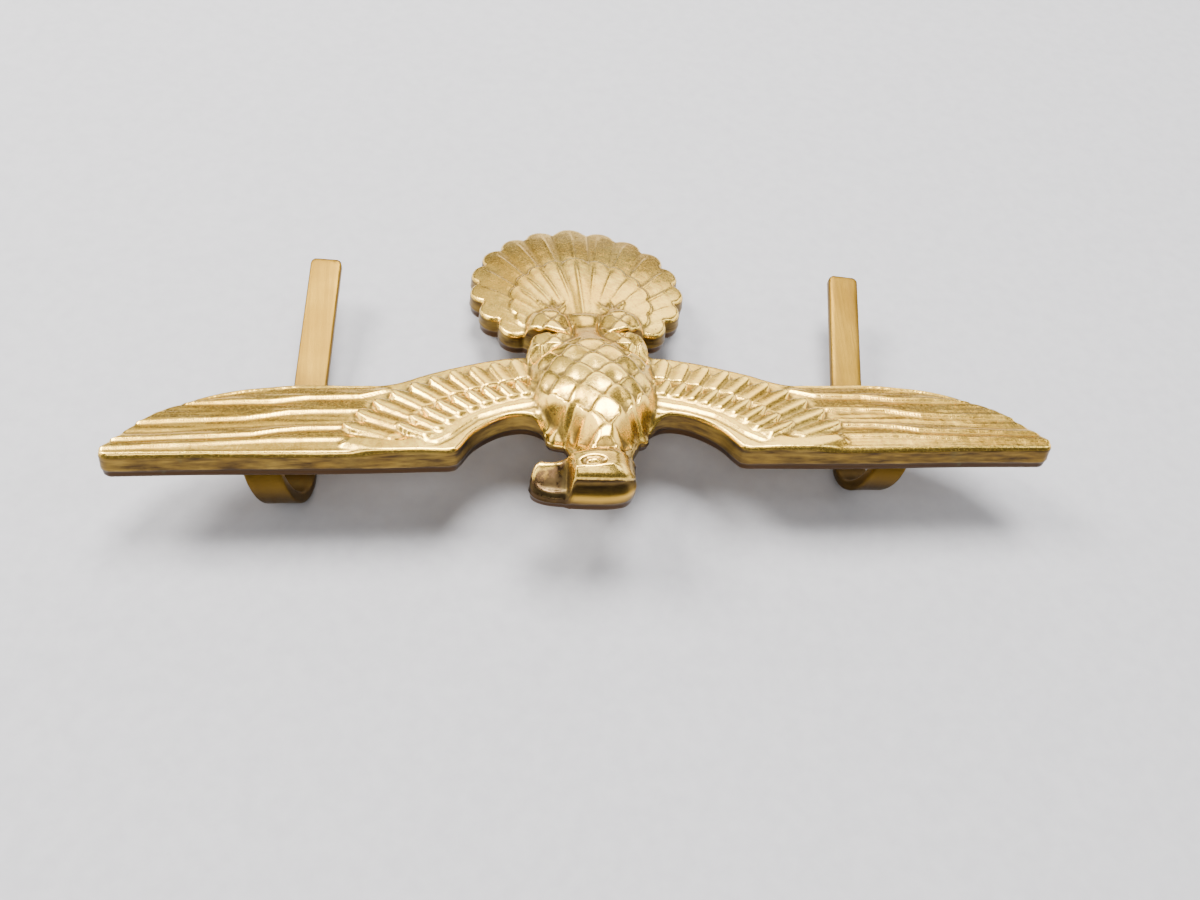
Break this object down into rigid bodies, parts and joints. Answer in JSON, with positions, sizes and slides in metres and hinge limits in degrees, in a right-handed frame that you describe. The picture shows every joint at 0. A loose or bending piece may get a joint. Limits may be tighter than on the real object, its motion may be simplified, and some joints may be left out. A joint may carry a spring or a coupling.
{
  "type": "cap badge",
  "caption": "Spread-winged bird cap badge struck in brass, hollow at the back, with bendable flat prongs that pass through the cap band and fold over.",
  "frame": {"origin": "on the centre line, level with the wings' leading edge, in the plane of the back rim", "axes": "+X along the wings, to the viewer's right with the decorated face up and the head nearest; +Y from the head to the tail; +Z out of the decorated face"},
  "size_m": [0.066, 0.0331, 0.0096],
  "materials": {
    "gilt_brass": "aged satin gilt",
    "prong_brass": "plain worn brass",
    "solder": "dull grey solder"
  },
  "bodies": {
    "badge": {"badge_shell": "gilt_brass", "left_prong_foot": "prong_brass", "left_prong_bend": "prong_brass", "left_solder": "solder", "right_prong_foot": "prong_brass", "right_prong_bend": "prong_brass", "right_solder": "solder"},
    "left_leg": {"left_prong_leg": "prong_brass"},
    "right_leg": {"right_prong_leg": "prong_brass"}
  },
  "joints": [
    {"name": "left_prong_bend", "type": "hinge", "parent": "badge", "child": "left_leg", "pos_m": [-0.0212, 0.0041, -0.0021], "axis": [1, 0, 0], "range_deg": [-113.5, 10], "deforming": ["left_prong_bend"]},
    {"name": "right_prong_bend", "type": "hinge", "parent": "badge", "child": "right_leg", "pos_m": [0.0201, 0.0037, -0.0017], "axis": [1, 0, 0], "range_deg": [-113.5, 10], "deforming": ["right_prong_bend"]}
  ]
}
